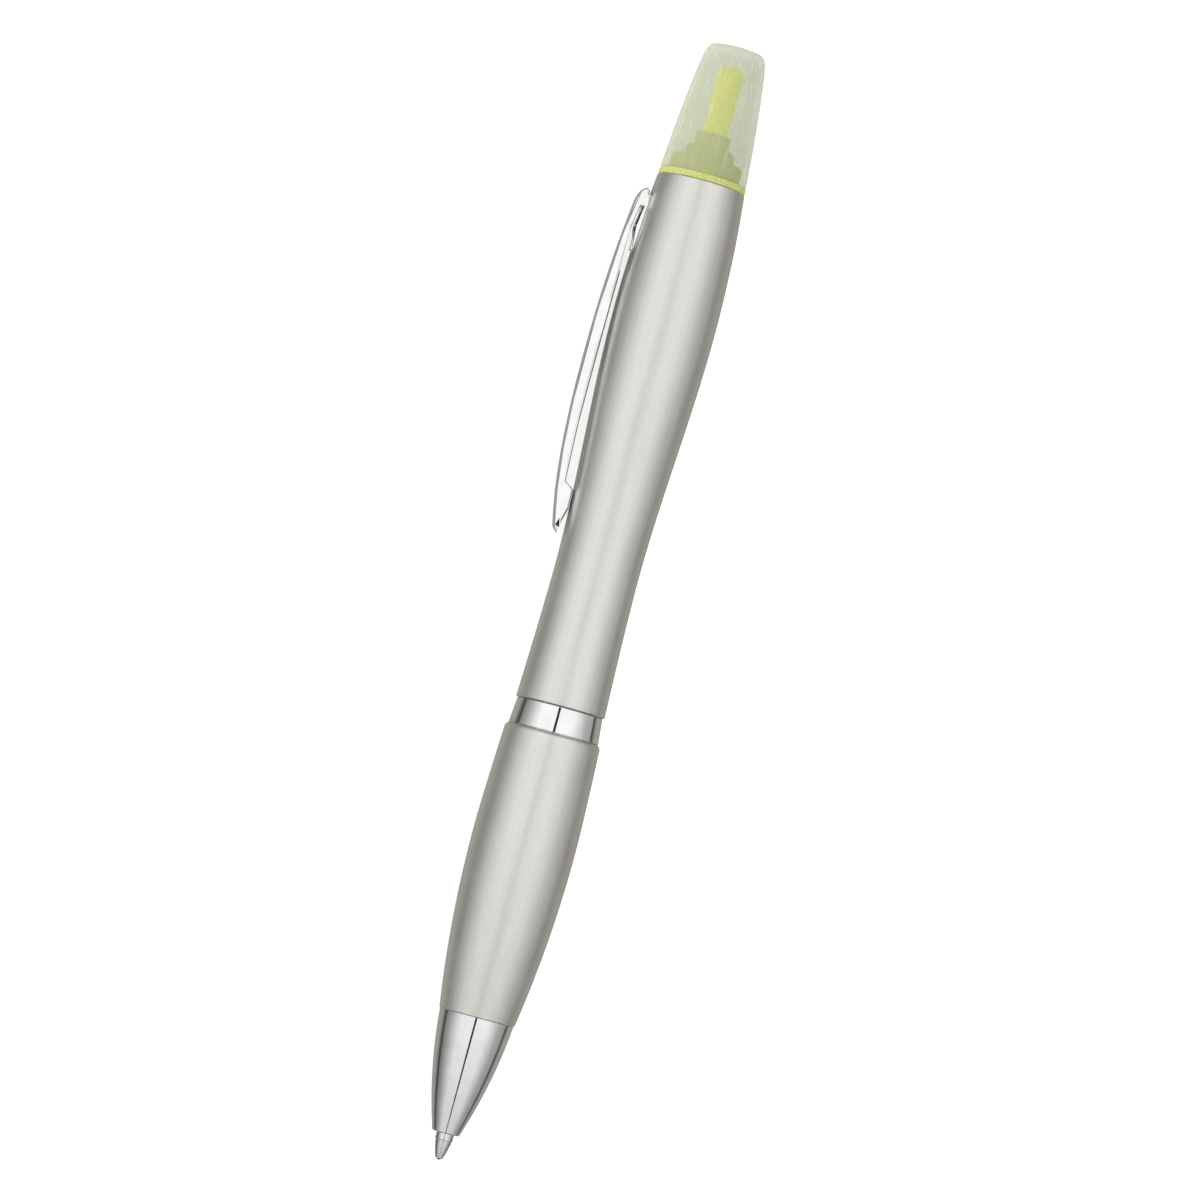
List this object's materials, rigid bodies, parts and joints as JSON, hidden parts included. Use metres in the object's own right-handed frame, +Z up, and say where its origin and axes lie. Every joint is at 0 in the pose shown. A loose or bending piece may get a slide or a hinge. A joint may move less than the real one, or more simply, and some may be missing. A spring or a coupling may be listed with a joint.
{
  "type": "twist ballpoint pen with highlighter",
  "caption": "Twist-action ballpoint pen with a spring clip and a capped highlighter in its other end; the tip, cap, clip and twist mechanism move.",
  "frame": {"origin": "centre of the bounding box in X and Y, on the floor the pen lies on", "axes": "+X along the pen toward the writing tip, +Z up; the clip points to -Y and down, its edge on the floor"},
  "size_m": [0.144, 0.015, 0.0132],
  "materials": {
    "chrome_trim": "polished",
    "chrome_band": "polished",
    "chrome_clip": "polished",
    "silver_lacquer": "metallic lacquer under clear coat",
    "black_plastic": "satin",
    "acetal": "satin",
    "spring_wire": "bright wire",
    "nickel_silver": "polished nickel silver",
    "carbide": "polished",
    "natural_plastic": "satin",
    "clear_tube": "clear",
    "ink_paste": "wet",
    "grease": "wet",
    "wet_fibre": "ink-soaked fibre",
    "clear_film": "clear",
    "yellow_clear_plastic": "clear tinted",
    "yellow_felt": "fibre",
    "frosted_plastic": "frosted clear"
  },
  "bodies": {
    "upper": {"upper_barrel": "silver_lacquer", "cam_sleeve": "acetal", "ink_chamber": "natural_plastic", "ink_reservoir": "wet_fibre", "reservoir_film": "clear_film", "nib_holder": "yellow_clear_plastic", "highlighter_nib": "yellow_felt"},
    "grip": {"grip_barrel": "silver_lacquer", "nose_cone": "chrome_trim", "centre_band": "chrome_band", "guide_sleeve": "black_plastic", "mechanism_retainer": "acetal", "return_spring": "spring_wire"},
    "refill": {"cam_follower": "acetal", "refill_tube": "clear_tube", "tip_holder": "natural_plastic", "refill_tip": "nickel_silver", "refill_ink": "ink_paste", "grease_plug": "grease"},
    "ball": {"writing_ball": "carbide"},
    "cap": {"highlighter_cap": "frosted_plastic"},
    "clip": {"clip": "chrome_clip"}
  },
  "joints": [
    {"name": "twist", "type": "hinge", "parent": "upper", "child": "grip", "pos_m": [0.0156, 0.00092, 0.00658], "axis": [-1, 0, 0], "range_deg": [0, 180]},
    {"name": "refill_slide", "type": "slide", "parent": "grip", "child": "refill", "axis": [-1, 0, 0], "range_m": [0, 0.005], "deforming": ["return_spring"]},
    {"name": "ball_roll", "type": "hinge", "parent": "refill", "child": "ball", "pos_m": [0.0716, 0.00092, 0.00658], "axis": [0, 1, 0], "continuous": true},
    {"name": "cap_pull", "type": "slide", "parent": "upper", "child": "cap", "axis": [-1, 0, 0], "range_m": [0, 0.02]},
    {"name": "clip_flex", "type": "hinge", "parent": "upper", "child": "clip", "pos_m": [-0.0517, -0.00408, 0.00327], "axis": [0, 0.5519, -0.8339], "range_deg": [0, 3], "stiffness_Nm_per_rad": 4, "springref_deg": -1.15}
  ],
  "couplings": [
    {"joint": "refill_slide", "follows": "twist", "m_per_rad": 0.0015915}
  ]
}
